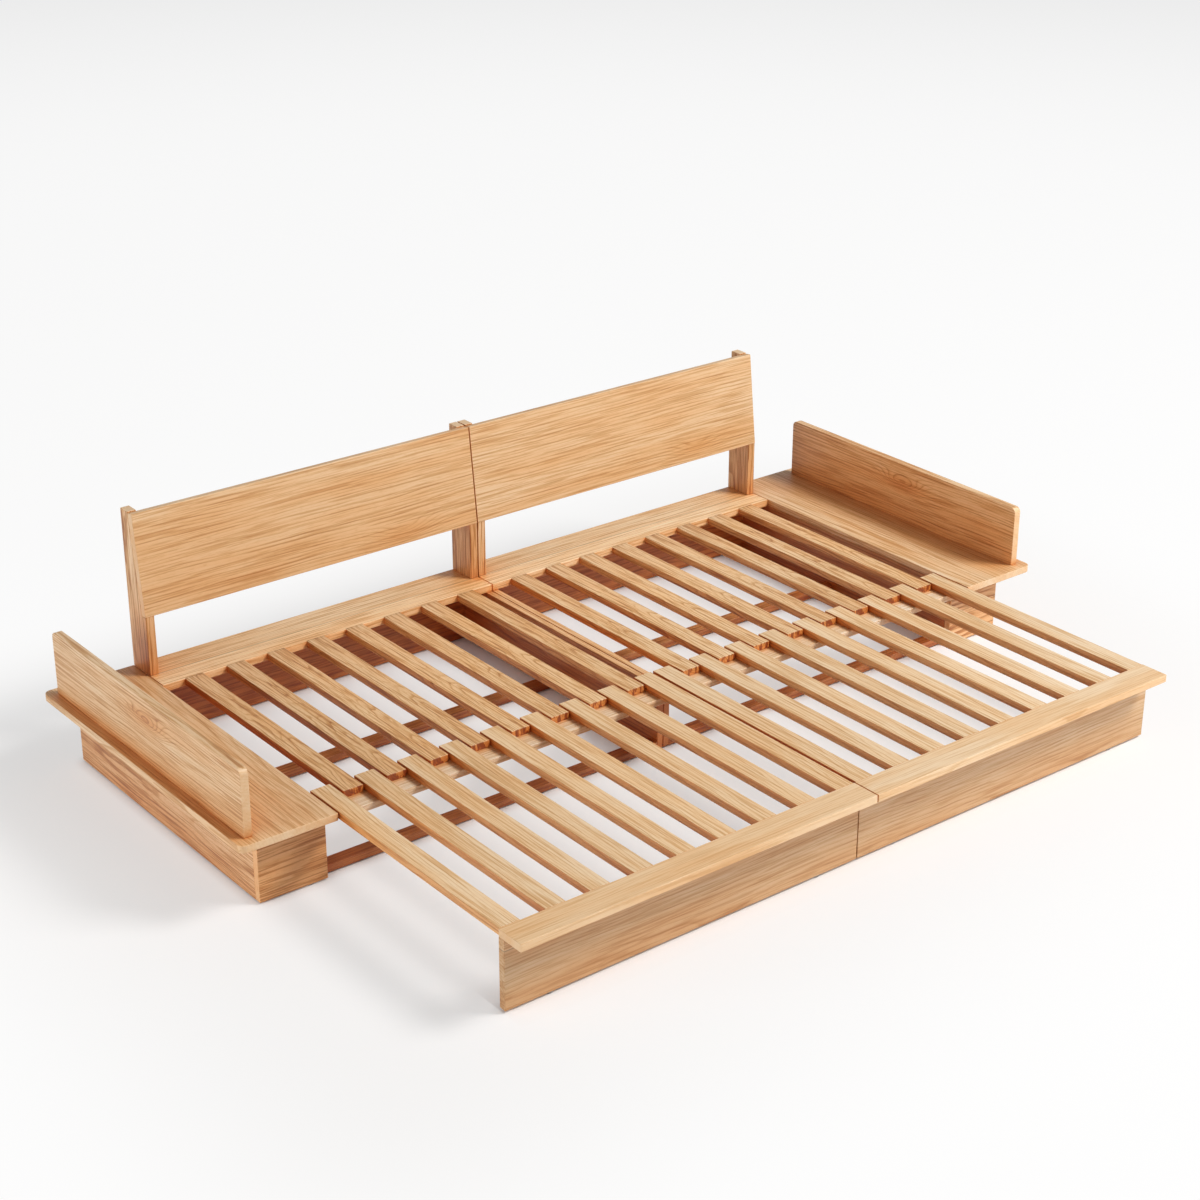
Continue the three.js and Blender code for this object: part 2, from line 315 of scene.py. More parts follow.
# %% Build the oak
def oiled_oak(name, pale, base, gloss):
    """Solid oak that reads the numbers carried by every board.

    The ring number is the distance from the heart, bent by slow noise, over the ring gap. Its fraction
    says how many pores there are, and noise stretched along the grain adds single lines of them. A
    slower noise drifts the stain of the whole board. The pale colour is taken to the power of the stain,
    so that dark wood is also redder wood, and the browner colour of the pores to the power of the lines.
    """
    material = bpy.data.materials.new(name)
    material.use_nodes = True
    tree = material.node_tree
    tree.nodes.clear()

    vectors = {}
    parts = {}
    for key in ("grain", "board", "heart", "figure", "swirl"):
        vectors[key] = add_node(tree, "ShaderNodeAttribute", attribute_name=key).outputs["Vector"]
        parts[key] = add_node(tree, "ShaderNodeSeparateXYZ", (vectors[key],)).outputs
    along, across, through = parts["grain"]
    seed, tone_below, tone_above = parts["board"]
    heart_across, heart_deep, heart_slant = parts["heart"]
    ring_gap, wavering, darkness = parts["figure"]
    twig_along, twig_across, twig_push = parts["swirl"]
    glue, end, own_depth, corners = (
        add_node(tree, "ShaderNodeAttribute", attribute_name=key).outputs["Fac"]
        for key in ("glue", "end", "depth", "corners")
    )

    # Staves on the two sides of a glue line come from different boards
    past_glue = add_node(tree, math_node, (across, glue), operation="GREATER_THAN")
    stave = add_node(tree, math_node, (past_glue, other_seed, seed), operation="MULTIPLY_ADD")
    stave = add_node(tree, "ShaderNodeCombineXYZ", (stave, stave, stave))
    grain = vectors["grain"]
    moved = add_node(tree, vector_node, (far_off, stave, grain), operation="MULTIPLY_ADD")

    # All noises read the moved place, each stretched along the grain in its own way
    noise = {}
    for key, (stretch, detail, roughness) in noise_kinds.items():
        place = add_node(tree, vector_node, (moved, stretch), operation="MULTIPLY")
        inputs = {"Vector": place, "Scale": 1.0, "Detail": detail, "Roughness": roughness}
        noise[key] = add_node(tree, "ShaderNodeTexNoise", inputs)
    mark = {}
    for key, (low, high) in mark_levels.items():
        mark[key] = add_node(tree, range_node, (noise[key], low, high))

    # Slow noise bends the rings, and a finer one makes them waver
    bend = add_node(tree, math_node, (noise["slow"], slow_bend), operation="MULTIPLY")
    bend = add_node(tree, math_node, (noise["waver"], wavering, bend), operation="MULTIPLY_ADD")

    # A swirl, where a twig once grew, pushes the rings aside round one spot
    swirl_x = add_node(tree, math_node, (along, twig_along), operation="SUBTRACT")
    swirl_x = add_node(tree, math_node, (swirl_x, twig_length), operation="DIVIDE")
    swirl_y = add_node(tree, math_node, (across, twig_across), operation="SUBTRACT")
    swirl_y = add_node(tree, math_node, (swirl_y, twig_width), operation="DIVIDE")
    far = add_node(tree, math_node, (swirl_x, swirl_x), operation="MULTIPLY")
    far = add_node(tree, math_node, (swirl_y, swirl_y, far), operation="MULTIPLY_ADD")
    near = add_node(tree, math_node, (far, -1.0), operation="MULTIPLY")
    near = add_node(tree, math_node, (near,), operation="EXPONENT")
    bend = add_node(tree, math_node, (near, twig_push, bend), operation="MULTIPLY_ADD")
    near_twig = add_node(tree, math_node, (near, twig_push), operation="MULTIPLY")

    # Distance from the heart, and the ring that it falls in
    off_heart = add_node(tree, math_node, (across, heart_across), operation="SUBTRACT")
    inputs = (past_glue, other_heart, off_heart)
    off_heart = add_node(tree, math_node, inputs, operation="MULTIPLY_ADD")
    above_heart = add_node(tree, math_node, (along, heart_slant, through), operation="MULTIPLY_ADD")
    above_heart = add_node(tree, math_node, (above_heart, heart_deep), operation="ADD")
    from_heart = add_node(tree, math_node, (above_heart, above_heart), operation="MULTIPLY")
    inputs = (off_heart, off_heart, from_heart)
    from_heart = add_node(tree, math_node, inputs, operation="MULTIPLY_ADD")
    from_heart = add_node(tree, math_node, (from_heart,), operation="SQRT")
    from_heart = add_node(tree, math_node, (from_heart, bend), operation="ADD")
    ring = add_node(tree, math_node, (from_heart, ring_gap), operation="DIVIDE")
    year = add_node(tree, math_node, (ring,), operation="FRACT")
    band = add_node(tree, "ShaderNodeValToRGB", (year,))
    while len(band.color_ramp.elements) < len(ring_stops):
        band.color_ramp.elements.new(0.5)
    for element, (place, level) in zip(band.color_ramp.elements, ring_stops):
        element.position = place
        element.color = (level, level, level, 1.0)

    # Some years show more than others, and every ring fades here and there along the board
    inputs = {"W": ring, "Scale": 0.6, "Detail": 2.0}
    years = add_node(tree, "ShaderNodeTexNoise", inputs, noise_dimensions="1D")
    years = add_node(tree, range_node, (years, 0.30, 0.66, 0.15))
    rings_show = add_node(tree, math_node, (band, years), operation="MULTIPLY")
    fading = add_node(tree, range_node, (noise["streak"], 0.34, 0.62, 0.35))
    rings_show = add_node(tree, math_node, (rings_show, fading), operation="MULTIPLY")

    # Ends are raw or sanded. A raw one shows broad marks in place of fine ones
    raw_end = add_node(tree, range_node, (end, 0.0, 1.0))
    end_marks = add_node(tree, math_node, (raw_end, mark["streak"]), operation="MULTIPLY")
    fine_fades = add_node(tree, math_node, (raw_end, mark["fibres"]), operation="MULTIPLY")
    sanded = add_node(tree, range_node, (end, -1.0, 0.0, sanded_lines))

    def add_up(start, shares):
        """The start plus each level times its share."""
        total = start
        for level, share in shares:
            total = add_node(tree, math_node, (level, share, total), operation="MULTIPLY_ADD")
        return total

    shares = (
        (rings_show, 1.8),
        (mark["fibres"], 0.95),
        (fine_fades, -0.8),
        (mark["pores"], 0.5),
        (end_marks, 2.2),
    )
    lines = add_node(tree, math_node, (add_up(0.0, shares), darkness), operation="MULTIPLY")
    lines = add_node(tree, math_node, (lines, sanded), operation="MULTIPLY")

    #     Painted corner shade: where boards stand near, the stain deepens and reddens, in place of light
    #         bounced between boards
    inputs = {"Distance": painted_shade_reach}
    open_sky = add_node(tree, "ShaderNodeAmbientOcclusion", inputs, samples=6).outputs["AO"]
    painted_bounce_shade = add_node(tree, range_node, (open_sky, 0.45, 0.90, 1.0, 0.0))
    shares = (
        (own_depth, 1.0),
        (mark["drift"], 0.42),
        (raw_end, 0.15),
        (near_twig, twig_stain),
        (painted_bounce_shade, corners),
    )
    stain = add_up(base, shares)
    wood = add_node(tree, "ShaderNodeGamma", {"Color": linear(pale), "Gamma": stain})
    dark = add_node(tree, "ShaderNodeGamma", {"Color": oiled_pores, "Gamma": lines})
    wood = add_node(tree, vector_node, (wood, dark), operation="MULTIPLY")

    # The board's own tone on each side of the glue line, and the oil that the line collected
    own_tone = add_node(tree, range_node, (past_glue, 0.0, 1.0, tone_below, tone_above))
    near_glue = add_node(tree, math_node, (across, glue), operation="SUBTRACT")
    near_glue = add_node(tree, math_node, (near_glue,), operation="ABSOLUTE")
    oil_line = add_node(tree, range_node, (near_glue, glue_line, glue_line * 2, glue_tone, 1.0))
    tone = add_node(tree, math_node, (own_tone, oil_line), operation="MULTIPLY")
    wood = add_node(tree, vector_node, {0: wood, "Scale": tone}, operation="SCALE")

    # A planed face is never quite even, so the sheen breaks up along the fibres
    sheen = add_node(tree, range_node, (noise["fibres"], 0.3, 0.7, gloss - 0.05, gloss + 0.08))
    inputs = (mark["pores"], -0.8, noise["fibres"])
    height = add_node(tree, math_node, inputs, operation="MULTIPLY_ADD")
    inputs = {"Strength": 0.25, "Distance": 0.0003, "Height": height}
    bump = add_node(tree, "ShaderNodeBump", inputs)
    inputs = {
        "Base Color": wood,
        "Roughness": 0.55,
        "IOR": 1.5,
        "Normal": bump,
        "Coat Weight": 0.4,
        "Coat Roughness": sheen,
        "Coat IOR": 1.5,
    }
    surface = add_node(tree, "ShaderNodeBsdfPrincipled", inputs)
    add_node(tree, "ShaderNodeOutputMaterial", (surface,))
    return material


# %% Mix the finishes
# The palest wood, how deep its stain is, and how matt its coat of oil
finishes = {
    "slats": ("#f0cda1", 0.80, 0.34),
    "boards": ("#f0cda2", 0.82, 0.34),
    "panels": ("#eecaa0", 0.77, 0.36),
    "tables": ("#eec99e", 0.76, 0.34),
    # The frame's deep, red stain is painted shade, for boards that stand in shade under the deck
    "frame": ("#e7c094", 1.45, 0.42),
}
for finish, (pale, base, gloss) in finishes.items():
    oak[finish] = oiled_oak("oiled_oak_" + finish, pale, base, gloss)
print("finishes", sorted(oak))

# %% [markdown]
# Square boards
#
# Most of the bed is straight boards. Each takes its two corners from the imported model, so it can't drift
# from its place. What changes is which way the grain runs and which way it faces.

# %% Make a square board
unit = np.eye(3)
side_view = unit[[1, 2, 0]]  # for an outline seen from the side
rounder = 1.2  # the long edges are this much rounder than those round the ends
tone_wander = 0.035  # no two boards are quite as bright

# What a board has where nothing else is said. Its glue line lies far outside, so none shows
usual = {
    "glue": 9.0,
    "depth": 0.0,
    "side": 0.0,
    "rough": 0.0,
    # corners is each board's share of painted corner shade
    "corners": 1.6,
    "ends": -1.0,
    "swirl": (0.0, 0.0, 0.0),
}


def corners_of(node):
    """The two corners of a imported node's box, the low one first."""
    low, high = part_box(node)
    return np.array(low), np.array(high)


def cut_from(grain, across, heart, figure, **numbers):
    """Where in the log a board was sawn: its directions, the heart's place and its own numbers.

    The figure is the gap between rings, how far they waver and how dark they show. Real rings are 2 to
    4 mm apart, too fine to show from here, so they are drawn two or three times as far apart. The tones
    are the board's own brightness below and above its glue line. Depth is extra depth of colour all
    over. Side is painted shade on the two long edge faces, those that look across the board's width;
    below zero it is painted light. And rough is painted shade on the face that looks inward through
    the board. Corners is how much painted corner shade the board takes: its stain deepens and reddens
    where other boards stand near, in place of light bounced from board to board. Ends is 1 where the
    ends were left as sawn, so that they drank more oil, and -1 where they were sanded until the lines
    faded. The swirl is the place of a twig and how far it pushes the rings.
    """
    own_seed = chance.uniform(0, 9)
    own_tone = 1 + chance.uniform(-tone_wander, tone_wander)
    cut = {**usual, "seed": own_seed, "tones": (own_tone, own_tone), **numbers}
    cut["rows"] = [grain, across, np.cross(grain, across)]
    cut["board"] = (cut["seed"], *cut["tones"])
    cut["heart"] = heart
    cut["figure"] = figure
    return cut


def square_board(name, body, node, low, high, run, ease, ends, cut, finish):
    """A board between two corners, its outline carried along the axis numbered run."""
    first = (run + 1) % 3
    second = (run + 2) % 3
    outline = [
        (low[first], low[second]),
        (high[first], low[second]),
        (high[first], high[second]),
        (low[first], high[second]),
    ]
    skin = eased_skin(outline, ease * rounder, low[run], high[run], ends[0], ends[1])
    middle = (np.array(low) + np.array(high)) / 2
    rows = [unit[first], unit[second], unit[run]]
    saw_board(name, body, [node], skin, rows, middle, cut, finish)


# %% [markdown]
# The two combs of slats
#
# Each half has nine slats that ride with the pull-out and eight that stay. They were planed to one
# width, and their long edges were eased by a millimetre and a half so that bedding doesn't catch. The
# fixed ones are sawn near the heart, so their faces show pointed arches. The others come from further out
# and show long flowing lines.

# %% Lay the slats
edge = 0.0013  # how far most edges are eased
crisp = 0.0003  # and how far those of an end that meets another board
glued_in = 0.003  # the fixed slats run on over the rear deck's eased edge, so no seam shows
wander = 0.004  # neighbouring slats come from nearly the same place in the log

# The slats' side of 0.75 is painted shade on their long side faces, which lie in shade between the slats
for side in ("left", "right"):
    pullout = side + "_pullout_body"
    for i in range(9):
        node = f"{side}_pullout_slat_{i + 1}"
        low, high = corners_of(node)
        heart = (0.045 + chance.uniform(-wander, wander), 0.045, 0.020)
        cut = cut_from(unit[1], unit[0], heart, (0.0075, 0.011, 1.05), seed=1.7 + 0.01 * i, side=0.75)
        square_board("oak_" + node, pullout, node, low, high, 1, edge, (crisp, edge), cut, "slats")
    for i in range(8):
        node = f"{side}_fixed_slat_{i + 1}"
        low, high = corners_of(node)
        high = high + (0, glued_in, 0)
        heart = (0.010 + chance.uniform(-wander, wander), 0.024, 0.028)
        numbers = {"seed": 4.1 + 0.01 * i, "side": 0.75, "ends": 1.0, "depth": 0.2}
        numbers["swirl"] = (0.0, 0.01, 0.008)
        cut = cut_from(unit[1], unit[0], heart, (0.0070, 0.020, 1.8), **numbers)
        square_board("oak_" + node, "base", node, low, high, 1, edge, (edge, crisp), cut, "slats")
print("slats", len(made))

# %% [markdown]
# The boards that close the deck
#
# A long board caps the front of each pull-out, with an upright panel set back under it, and a wider
# board runs along the back and carries the posts. The panel and the wider board were glued up from two
# staves: the joint shows as a fine dark line, and the two sides differ a little in tone.

# %% Make the front and the rear deck
front_foot = 0.006  # the front panel's glides are this high
top_stave = 0.027  # its upper stave is this wide

for side in ("left", "right"):
    pullout = side + "_pullout_body"
    node = side + "_front_board"
    low, high = corners_of(node)
    numbers = {"tones": (0.975, 0.975), "depth": 0.07}
    cut = cut_from(unit[0], unit[1], (0.16, 0.02, 0.01), (0.0080, 0.005, 0.6), **numbers)
    square_board("oak_" + node, pullout, node, low, high, 2, edge, (edge, edge), cut, "boards")

    node = side + "_front_panel"
    low, high = corners_of(node)
    low[2] = front_foot
    middle_height = (low[2] + high[2]) / 2
    glue = high[2] - top_stave - middle_height
    numbers = {"tones": (0.79, 0.85), "glue": glue, "depth": 0.1, "corners": 0.45, "ends": 0.3}
    cut = cut_from(unit[0], unit[2], (-0.09, 0.05, 0.012), (0.0085, 0.009, 0.9), **numbers)
    square_board("oak_" + node, pullout, node, low, high, 1, edge, (edge, edge), cut, "panels")

    node = side + "_pullout_rail"
    low, high = corners_of(node)
    # The rail's negative depth takes back part of the painted corner shade that the slats above bring
    cut = cut_from(unit[0], unit[1], (0.08, 0.04, 0.02), (0.009, 0.006, 0.8), depth=-0.6)
    square_board("oak_" + node, pullout, node, low, high, 2, edge, (edge, edge), cut, "boards")

    node = side + "_rear_deck"
    low, high = corners_of(node)
    numbers = {"tones": (1.23, 1.12), "glue": -0.011}
    cut = cut_from(unit[0], unit[1], (-0.20, 0.03, 0.01), (0.0080, 0.005, 1.25), **numbers)
    square_board("oak_" + node, "base", node, low, high, 2, edge, (edge, edge), cut, "boards")
print("boards so far", len(made))

# %% [markdown]
# The base frame
#
# Two side panels, a skirt at the back and two stretchers near the floor make an open box. In the packed
# model this is one glued-up solid. Here each board is its own piece with its own grain, as the joiner
# made it, and the glides are the small pucks it stands on.

# %% Make the base frames
thick = 0.019  # of all the frame's boards
skirt_rear = 0.797
skirt_front = skirt_rear - thick
base_front = -0.0615  # the side panels and the front stretcher begin here
foot = 0.004  # the glides' height
board_low = 0.178  # the deck's boards lie on the frame at this height
table_low = 0.179  # and the table tops at this one
table_seam = 1.002  # the outer side panels begin here
middle_gap = 0.0008  # the two halves stand side by side, with a fine dark line between them

# Where each stretcher begins and how wide it is
stretchers = {"front": (base_front, 0.036), "middle": (0.380, 0.037)}

# From where to where each side panel reaches, its height, how far it is eased, and its own numbers
panels = {
    # A negative side pales the panels' top and bottom faces: painted light on their tops
    "inner": (middle_gap, thick, board_low, 0.002, {"tones": (1.14, 1.14), "side": -0.5}),
    "outer": (table_seam, table_seam + thick, table_low, 0.001, {"tones": (1.0, 1.0), "side": -0.75}),
}

for side, sign in (("left", -1), ("right", 1)):
    node = side + "_base_frame"
    for word, (inner, outer, top, ease, numbers) in panels.items():
        x = sorted((sign * inner, sign * outer))
        low = (x[0], base_front, foot)
        high = (x[1], skirt_front, top)
        cut = cut_from(unit[1], unit[2], (0.03, 0.05, 0.02), (0.011, 0.010, 1.4), **numbers)
        name = f"oak_{side}_side_panel_{word}"
        square_board(name, "base", node, low, high, 0, ease, (ease, ease), cut, "frame")
    x = sorted((sign * middle_gap, sign * (table_seam + thick)))
    # Painted shade on the skirt's inner face, which looks in under the deck
    cut = cut_from(unit[0], unit[2], (-0.09, 0.05, 0.015), (0.012, 0.008, 1.4), rough=1.0)
    low = (x[0], skirt_front, foot)
    high = (x[1], skirt_rear, board_low)
    name = f"oak_{side}_skirt"
    square_board(name, "base", node, low, high, 1, edge, (edge, edge), cut, "panels")
    for word, (front, width) in stretchers.items():
        x = sorted((sign * thick, sign * table_seam))
        low = (x[0], front, foot)
        high = (x[1], front + width, foot + thick)
        cut = cut_from(unit[0], unit[1], (0.05, 0.03, 0.02), (0.009, 0.006, 1.6))
        name = f"oak_{side}_stretcher_{word}"
        square_board(name, "base", node, low, high, 2, edge, (edge, edge), cut, "frame")
print("boards so far", len(made))

# %% [markdown]
# Posts and backrests
#
# The posts are upright behind. In front they are upright as far as a shoulder, and above it they lean
# back, so that the backrest lies on their slope with its lower edge on the shoulder. The outline is the
# post seen from the side, carried through its thickness.

# %% Make the posts and the backrests
post_head = 0.036  # a post's width at the top
backrest_width = 0.267
backrest_drop = 0.003  # the backrest ends this far below the posts' tops
glue_gap = 0.00025  # too thin to show
backrest_thickness = 0.020
shoulder_ease = 0.0005

for side in ("left", "right"):
    low, high = corners_of(side + "_post_inner")
    foot_point = np.array([low[1], low[2]])
    head_point = np.array([high[1] - post_head, high[2]])
    slope = head_point - foot_point
    slope_length = np.linalg.norm(slope)
    up = slope / slope_length
    off = np.array([-up[1], up[0]])
    upper = slope_length - backrest_drop
    lower = upper - backrest_width
    shoulder = lower - glue_gap
    shoulder_width = shoulder * up[0] / up[1]
    outline = [
        (low[1], low[2]),
        (high[1], low[2]),
        (high[1], high[2]),
        tuple(head_point),
        tuple(foot_point + shoulder * up),
        tuple(foot_point + shoulder * up + shoulder_width * off),
    ]
    radii = [edge * rounder] * 4 + [-shoulder_ease, shoulder_ease]
    for word in ("inner", "outer"):
        node = f"{side}_post_{word}"
        low, high = corners_of(node)
        skin = eased_skin(outline, radii, low[0], high[0], edge, edge)
        cut = cut_from(unit[2], unit[1], (0.03, 0.06, 0.02), (0.0085, 0.010, 2.0), depth=0.1)
        middle = (low + high) / 2
        saw_board("oak_" + node, "base", [node], skin, side_view, middle, cut, "panels")

    back = glue_gap
    front = glue_gap + backrest_thickness
    corners = ((lower, front), (lower, back), (upper, back), (upper, front))
    outline = [tuple(foot_point + rise * up + out * off) for rise, out in corners]
    node = side + "_backrest"
    low, high = corners_of(node)
    skin = eased_skin(outline, edge * rounder, low[0], high[0], edge, edge)
    across = np.array([0.0, up[0], up[1]])
    numbers = {"tones": (0.95, 0.95), "depth": 0.22, "swirl": (0.27, -0.095, 0.028)}
    cut = cut_from(unit[0], across, (-0.22, 0.03, 0.008), (0.0095, 0.006, 1.05), **numbers)
    middle = (low + high) / 2
    saw_board("oak_" + node, "base", [node], skin, side_view, middle, cut, "boards")
print("lean of the backrest", round(math.degrees(math.atan2(up[0], up[1])), 1), "degrees")

# %% [markdown]
# The side tables and their arms
#
# A low box with an overhanging top closes each end, and an upright panel stands on it as the armrest.
# The top's outer corners and the arm's upper corners are rounded with a router, so they get a larger
# radius in the same outline.

# %% Make the side tables and the arms
table_corner = 0.018
arm_corner = 0.015
# Painted light and shade: the right arm is drawn deeper and redder for its inner face in shade; the left
# one is toned a little darker
arms = {"left": ((0.95, 0.95), 0.05), "right": ((1.04, 1.04), 0.25)}  # tones and depth of each

for side, sign in (("left", -1), ("right", 1)):
    node = side + "_table_top"
    low, high = corners_of(node)
    outline = [(low[0], low[1]), (high[0], low[1]), (high[0], high[1]), (low[0], high[1])]
    small = edge * rounder
    radii = [small, table_corner, table_corner, small]
    if sign < 0:
        radii = [table_corner, small, small, table_corner]
    skin = eased_skin(outline, radii, low[2], high[2], edge, edge, steps=8)
    middle = (low + high) / 2
    numbers = {"tones": (1.0, 1.0), "depth": 0.05}
    cut = cut_from(unit[1], unit[0], (sign * -0.14, 0.08, 0.020), (0.0085, 0.005, 1.3), **numbers)
    saw_board("oak_" + node, "base", [node], skin, unit, middle, cut, "tables")

    node = side + "_arm_panel"
    low, high = corners_of(node)
    outline = [(low[1], low[2]), (high[1], low[2]), (high[1], high[2]), (low[1], high[2])]
    radii = [small, small, arm_corner, arm_corner]
    skin = eased_skin(outline, radii, low[0], high[0], edge, edge, steps=8)
    middle = (low + high) / 2
    tones, depth = arms[side]
    numbers = {"tones": tones, "depth": depth, "swirl": (-0.02, 0.025, 0.050)}
    cut = cut_from(unit[1], unit[2], (-0.150, 0.060, 0.012), (0.0080, 0.006, 1.5), **numbers)
    saw_board("oak_" + node, "base", [node], skin, side_view, middle, cut, "tables")

    for word, run, grain in (("front", 1, 0), ("outer", 0, 1), ("rear", 1, 0)):
        node = f"{side}_table_{word}"
        low, high = corners_of(node)
        low[2] = foot
        numbers = {"tones": (1.07, 1.07), "depth": 0.3, "corners": 0.5}
        finish = "panels"
        if word == "outer":
            numbers = {"tones": (1.0, 1.0), "depth": -0.4}
            finish = "tables"
        cut = cut_from(unit[grain], unit[2], (-0.02, 0.060, 0.030), (0.0085, 0.008, 2.0), **numbers)
        square_board("oak_" + node, "base", node, low, high, run, edge, (edge, edge), cut, finish)
print("boards in all", len(made))

# %% [markdown]
# Glides
#
# Small moulded pucks of grey nylon keep the boards off the floor. They hardly show, but the gap they leave
# is the thin dark line under every panel, deepened by the floor's painted contact shade. A profile of
# radius and height is spun round its middle.

# %% Mould the nylon
def grey_nylon(name):
    """Moulded nylon: pale grey, slightly mottled, with a soft sheen."""
    material = bpy.data.materials.new(name)
    material.use_nodes = True
    tree = material.node_tree
    tree.nodes.clear()
    place = add_node(tree, "ShaderNodeTexCoord").outputs["Object"]
    inputs = {"Vector": place, "Scale": 700.0, "Detail": 2.0}
    specks = add_node(tree, "ShaderNodeTexNoise", inputs)
    inputs = {0: specks, 6: linear("#8f8a84"), 7: linear("#a39d96")}
    colour = add_node(tree, "ShaderNodeMix", inputs, data_type="RGBA").outputs[2]
    inputs = {"Strength": 0.2, "Distance": 0.0001, "Height": specks}
    bump = add_node(tree, "ShaderNodeBump", inputs)
    inputs = {"Base Color": colour, "Roughness": 0.5, "IOR": 1.53, "Normal": bump}
    surface = add_node(tree, "ShaderNodeBsdfPrincipled", inputs)
    add_node(tree, "ShaderNodeOutputMaterial", (surface,))
    return material


nylon = grey_nylon("moulded_grey_nylon")


# %% Spin the glides
glide_radius = 0.008

# Where the glides of each board stand on the right half. The left half mirrors them
glide_places = {
    "front_panel": ((0.1215, -0.7515), (0.880, -0.7515)),
    "base_frame": ((0.0095, -0.0165), (0.0095, 0.733), (1.0115, -0.0165), (1.0115, 0.733)),
    "table_front": ((1.047, -0.0715),),
    "table_outer": ((1.1705, -0.017), (1.1705, 0.733)),
    "table_rear": ((1.066, 0.7685),),
}


def glide_skin(places, radius, height):
    """Pucks at several places: each is its profile's radius times a turning direction, at its height."""
    profile = np.array([[0.86, 0.0], [0.96, 0.12], [1.0, 0.3], [1.0, 0.8], [0.97, 1.0]])
    around = 32
    angle = np.linspace(0, 2 * np.pi, around, endpoint=False)
    ring = np.stack([np.cos(angle), np.sin(angle)], axis=1)
    flat = ring[None] * profile[:, None, :1] * radius
    tall = np.broadcast_to(profile[:, 1][:, None, None] * height, (len(profile), around, 1))
    puck = np.concatenate([flat, tall], axis=2).reshape(-1, 3)
    points = []
    faces = []
    for x, y in places:
        first = len(points) * len(puck)
        points.append(puck + (x, y, 0))
        faces += [[first + corner for corner in face] for face in ring_faces(len(profile), around)]
    return np.concatenate(points), faces


def set_glides(name, body, node, places, height):
    """One piece with all the glides of a board."""
    points, faces = glide_skin(places, glide_radius, height)
    mesh = bpy.data.meshes.new(name)
    mesh.from_pydata(points.tolist(), [], faces)
    mesh.materials.append(nylon)
    glides = in_scene(name, mesh)
    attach(glides, body)
    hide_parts(node)
    made.append(glides)


for side, sign in (("left", -1), ("right", 1)):
    for word, places in glide_places.items():
        body = "base"
        height = foot
        if word == "front_panel":
            body = side + "_pullout_body"
            height = front_foot
        mirrored = [(sign * x, y) for x, y in places]
        set_glides(f"glides_{side}_{word}", body, f"{side}_{word}", mirrored, height)
print("pieces", len(made))

# %% [markdown]
# The studio
#
# The bed stands on a seamless white floor. A large soft lamp high on the right and in front gives the
# shadows, which fall softly to the left. A low soft box on the left and a small one in front lift the
# sides, and a weak white sky fills the rest. What the camera sees behind the floor is plain white.

# %% Lay the floor
floor_half = 30.0
cells = 4
points_a_side = cells + 1
grid = np.linspace(-floor_half, floor_half, points_a_side)
grid_x, grid_y = np.meshgrid(grid, grid, indexing="xy")
points = np.stack([grid_x.ravel(), grid_y.ravel(), np.zeros(grid_x.size)], axis=1)
row, column = np.meshgrid(np.arange(cells), np.arange(cells), indexing="ij")
first = (row * points_a_side + column).ravel()
above = first + points_a_side
faces = np.stack([first, first + 1, above + 1, above], axis=1).tolist()
floor_mesh = bpy.data.meshes.new("floor")
floor_mesh.from_pydata(points.tolist(), [], faces)
floor = in_scene("floor", floor_mesh)


# %% Tell what the eye sees from what lights the boards
def direct_view(tree):
    """One on rays from the camera, a mirror or glass, else zero, and one on those from a mirror alone."""
    path = add_node(tree, "ShaderNodeLightPath").outputs
    inputs = (path["Is Camera Ray"], path["Is Glossy Ray"])
    seen = add_node(tree, math_node, inputs, operation="MAXIMUM")
    inputs = (seen, path["Is Transmission Ray"])
    seen = add_node(tree, math_node, inputs, operation="MAXIMUM")
    return seen, path["Is Glossy Ray"]


# %% Paint the floor
deck_half = (1.0, 0.82, 0.0)  # half the size of the deck, where the slats shade the floor
bed_half = (1.25, 0.82, 0.0)  # half the size of the whole bed
glow_reach = 0.8  # over this distance from the bed the floor turns plain
glow_near = 0.55  # share of plain white under the bed
glow_far = 0.9  # and out on the open floor
fade_near = 6.0  # between these distances the floor fades into the backdrop
fade_far = 16.0
horizon_level = 0.83  # the floor's level there
painted_contact_reach = 0.03  # painted contact shade: the floor is drawn darker this near to what stands on it
shade_reach = 0.17  # painted shadow: a board this near on the right darkens the floor, as if it kept the lamp's light away
to_the_lamp = (0.86, -0.1, 0.5)  # the way from the floor
few_rays = 8  # enough for a soft shade

paint = bpy.data.materials.new("matt_floor_paint")
paint.use_nodes = True
tree = paint.node_tree
tree.nodes.clear()


def past(corner):
    """How far a place on the floor lies outside a rectangle, given by its half size."""
    outside = add_node(tree, vector_node, (mirrored_place, corner), operation="SUBTRACT")
    outside = add_node(tree, vector_node, (outside, (0.0, 0.0, 0.0)), operation="MAXIMUM")
    return add_node(tree, vector_node, (outside,), operation="LENGTH").outputs["Value"]


place = add_node(tree, "ShaderNodeTexCoord").outputs["Object"]
mottle = add_node(tree, "ShaderNodeTexNoise", {"Vector": place, "Scale": 1.5})
inputs = {0: mottle, 6: linear("#f3f2f2"), 7: linear("#f5f4f4")}
shade = add_node(tree, "ShaderNodeMix", inputs, data_type="RGBA").outputs[2]
inputs = {"Base Color": shade, "Roughness": 0.9, "Specular IOR Level": 0.1}
matt = add_node(tree, "ShaderNodeBsdfPrincipled", inputs)

# The plain share is largest on the open floor, and only the eye sees it
away = add_node(tree, vector_node, (place,), operation="LENGTH").outputs["Value"]
mirrored_place = add_node(tree, vector_node, (place,), operation="ABSOLUTE")
inputs = (past(bed_half), 0.0, glow_reach, glow_near, glow_far)
plain = add_node(tree, range_node, inputs, interpolation_type="SMOOTHSTEP")
plain = add_node(tree, math_node, (plain, direct_view(tree)[0]), operation="MULTIPLY")
